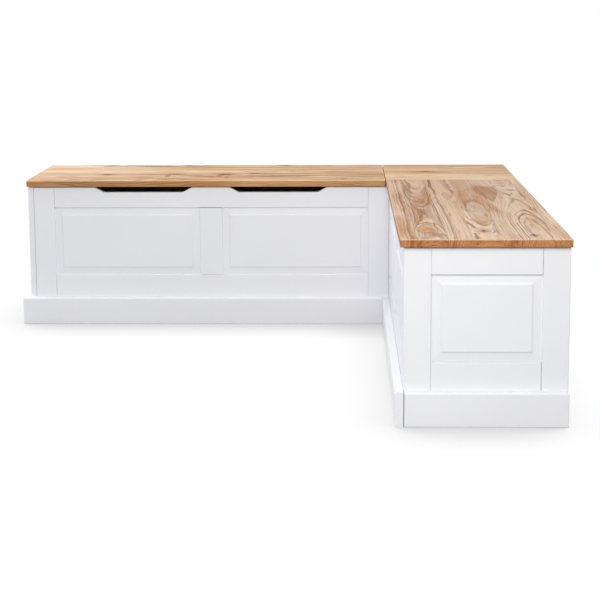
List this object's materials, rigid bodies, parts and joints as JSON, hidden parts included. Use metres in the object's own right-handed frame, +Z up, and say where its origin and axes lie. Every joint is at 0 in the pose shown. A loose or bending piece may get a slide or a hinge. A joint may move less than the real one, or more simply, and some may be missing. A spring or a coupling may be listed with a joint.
{
  "type": "corner storage bench",
  "caption": "L-shaped corner storage bench: painted frame-and-panel chests with hinged timber lids, a fixed corner top, finger notches and plinths.",
  "frame": {"origin": "middle of the bounding box, on the floor that the bench stands on", "axes": "+X runs along the left chest towards the corner, +Y points from the viewer's side to the wall behind the left chest, +Z is up"},
  "size_m": [1.6066, 1.5666, 0.47],
  "materials": {
    "painted_wood": "satin white paint on wood, with the joints showing as fine lines",
    "lid_timber": "clear lacquered edge-glued hardwood staves with a strong figure",
    "inner_board": "bare plywood and pine inside the chests",
    "steel_hardware": "bright zinc-plated steel",
    "pad_rubber": "soft translucent rubber pads"
  },
  "bodies": {
    "carcass": {"back_board_screws": "steel_hardware", "connector_bolts": "steel_hardware", "connector_nuts": "steel_hardware", "corner_back_board": "painted_wood", "corner_cross_rail": "inner_board", "corner_side_board": "painted_wood", "corner_top": "lid_timber", "corner_top_cleats": "inner_board", "corner_top_screws": "steel_hardware", "floor_cleats": "inner_board", "left_back_board": "painted_wood", "left_end_bottom_rail": "painted_wood", "left_end_front_stile": "painted_wood", "left_end_panel": "painted_wood", "left_end_plinth": "painted_wood", "left_end_rear_stile": "painted_wood", "left_end_top_rail": "painted_wood", "left_floor_board": "inner_board", "left_front_bottom_rail": "painted_wood", "left_front_left_panel": "painted_wood", "left_front_left_stile": "painted_wood", "left_front_mullion": "painted_wood", "left_front_plinth": "painted_wood", "left_front_right_panel": "painted_wood", "left_front_right_stile": "painted_wood", "left_front_top_rail": "painted_wood", "left_hinge_carcass_leaves": "steel_hardware", "left_hinge_carcass_screws": "steel_hardware", "left_hinge_pins": "steel_hardware", "left_inner_end_board": "painted_wood", "lid_bumpers": "pad_rubber", "right_end_bottom_rail": "painted_wood", "right_end_left_stile": "painted_wood", "right_end_panel": "painted_wood", "right_end_plinth": "painted_wood", "right_end_right_stile": "painted_wood", "right_end_top_rail": "painted_wood", "right_floor_board": "inner_board", "right_hinge_carcass_leaves": "steel_hardware", "right_hinge_carcass_screws": "steel_hardware", "right_hinge_pins": "steel_hardware", "right_side_bottom_rail": "painted_wood", "right_side_front_panel": "painted_wood", "right_side_front_stile": "painted_wood", "right_side_mullion": "painted_wood", "right_side_plinth": "painted_wood", "right_side_rear_panel": "painted_wood", "right_side_rear_stile": "painted_wood", "right_side_top_rail": "painted_wood", "right_wall_board": "painted_wood"},
    "left_lid_assembly": {"left_lid": "lid_timber", "left_lid_battens": "inner_board", "left_batten_screws": "steel_hardware", "left_hinge_lid_leaves": "steel_hardware", "left_hinge_lid_screws": "steel_hardware"},
    "right_lid_assembly": {"right_lid": "lid_timber", "right_lid_battens": "inner_board", "right_batten_screws": "steel_hardware", "right_hinge_lid_leaves": "steel_hardware", "right_hinge_lid_screws": "steel_hardware"}
  },
  "joints": [
    {"name": "left_lid_hinge", "type": "hinge", "parent": "carcass", "child": "left_lid_assembly", "pos_m": [-0.20535, 0.78015, 0.44775], "axis": [-1, 0, 0], "range_deg": [0, 95]},
    {"name": "right_lid_hinge", "type": "hinge", "parent": "carcass", "child": "right_lid_assembly", "pos_m": [0.80015, -0.20535, 0.44775], "axis": [0, 1, 0], "range_deg": [0, 95]}
  ]
}
